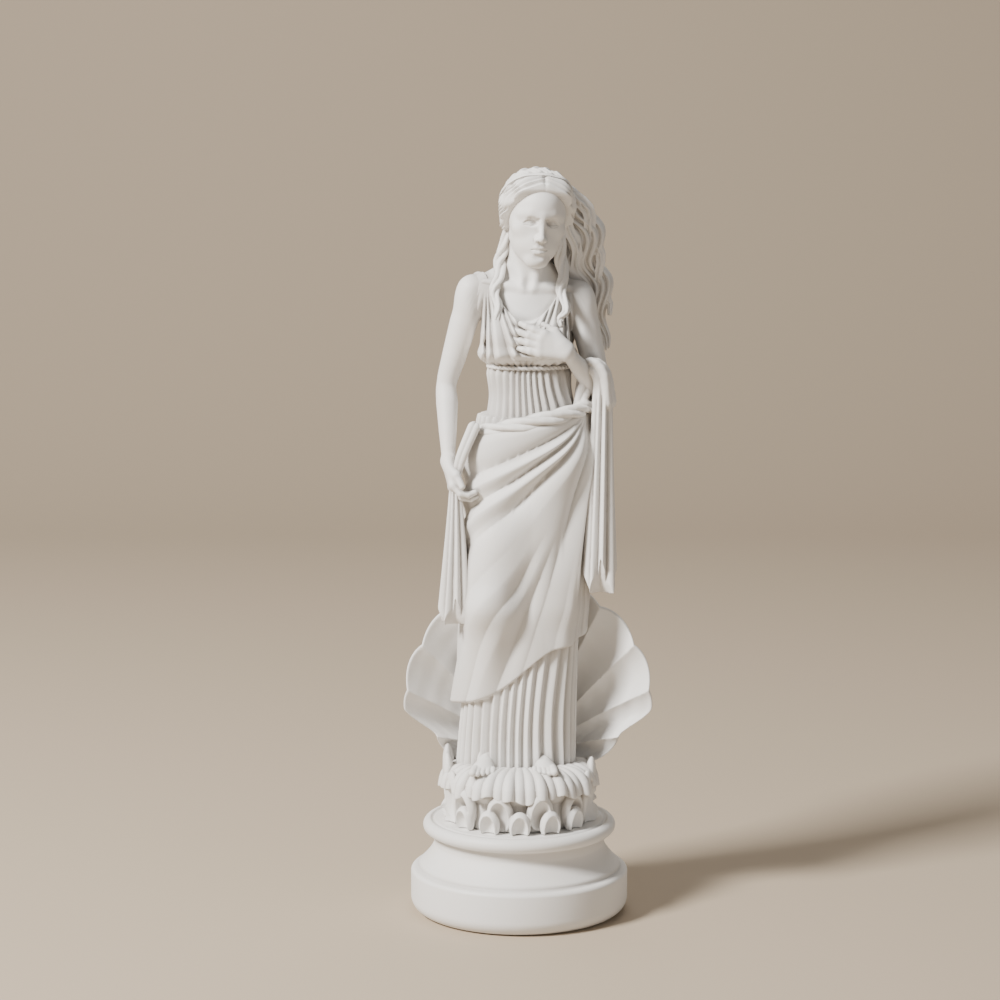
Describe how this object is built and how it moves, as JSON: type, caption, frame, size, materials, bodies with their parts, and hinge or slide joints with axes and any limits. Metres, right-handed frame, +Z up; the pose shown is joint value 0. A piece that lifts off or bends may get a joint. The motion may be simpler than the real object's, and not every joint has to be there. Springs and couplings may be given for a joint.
{
  "type": "goddess statuette",
  "caption": "White cast statuette of a draped classical goddess before a scallop shell, on a mound of waves and a round stepped plinth, for display on a shelf or table.",
  "frame": {"origin": "middle of the plinth's underside", "axes": "+Z up through the figure, -Y towards the viewer whom the figure faces, +X to the viewer's right"},
  "size_m": [0.0993, 0.088, 0.3003],
  "materials": {
    "white_cast_resin": "matt white cast resin with a stone look",
    "white_cast_plinth": "matt white cast resin with a stone look"
  },
  "bodies": {
    "root": {"figure": "white_cast_resin", "plinth": "white_cast_plinth"}
  },
  "joints": []
}
